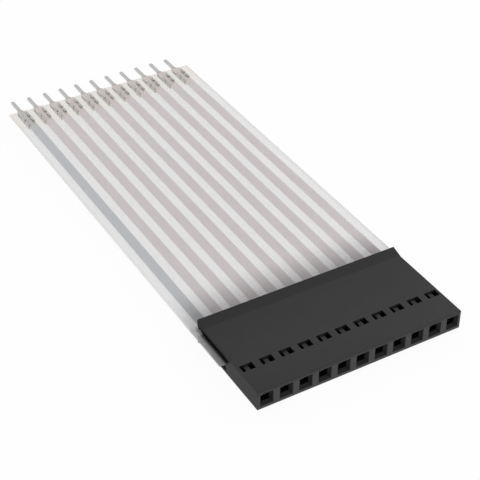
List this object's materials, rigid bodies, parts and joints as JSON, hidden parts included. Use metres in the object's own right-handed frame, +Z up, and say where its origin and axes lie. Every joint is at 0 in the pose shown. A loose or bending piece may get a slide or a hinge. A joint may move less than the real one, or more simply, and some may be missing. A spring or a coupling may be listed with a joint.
{
  "type": "flat flex cable",
  "caption": "Straight flat film cable with a black socket housing on one end and crimped solder pins on the other.",
  "frame": {"origin": "middle of the mating face, at the centre of the row of sockets, on the mid-plane of the cable", "axes": "+X across the row of positions, from the marked first conductor to the last; +Y back along the cable, from the sockets to the solder pins; +Z up, out of the face with the latch windows"},
  "size_m": [0.0292, 0.0728, 0.0034],
  "materials": {
    "housing_plastic": "black moulded plastic, fine satin texture",
    "clear_film": "milky translucent laminated film",
    "conductor_metal": "flat rolled tinned strip seen through film",
    "marked_conductor": "first strip, blue-grey as the polarity mark",
    "plated_metal": "satin tin plate on stamped metal"
  },
  "bodies": {
    "root": {"housing": "housing_plastic", "insulation_film": "clear_film", "conductor_01": "marked_conductor", "conductor_02": "conductor_metal", "conductor_03": "conductor_metal", "conductor_04": "conductor_metal", "conductor_05": "conductor_metal", "conductor_06": "conductor_metal", "conductor_07": "conductor_metal", "conductor_08": "conductor_metal", "conductor_09": "conductor_metal", "conductor_10": "conductor_metal", "conductor_11": "conductor_metal", "contact_01": "plated_metal", "contact_02": "plated_metal", "contact_03": "plated_metal", "contact_04": "plated_metal", "contact_05": "plated_metal", "contact_06": "plated_metal", "contact_07": "plated_metal", "contact_08": "plated_metal", "contact_09": "plated_metal", "contact_10": "plated_metal", "contact_11": "plated_metal", "solder_tab_01": "plated_metal", "solder_tab_02": "plated_metal", "solder_tab_03": "plated_metal", "solder_tab_04": "plated_metal", "solder_tab_05": "plated_metal", "solder_tab_06": "plated_metal", "solder_tab_07": "plated_metal", "solder_tab_08": "plated_metal", "solder_tab_09": "plated_metal", "solder_tab_10": "plated_metal", "solder_tab_11": "plated_metal"}
  },
  "joints": []
}
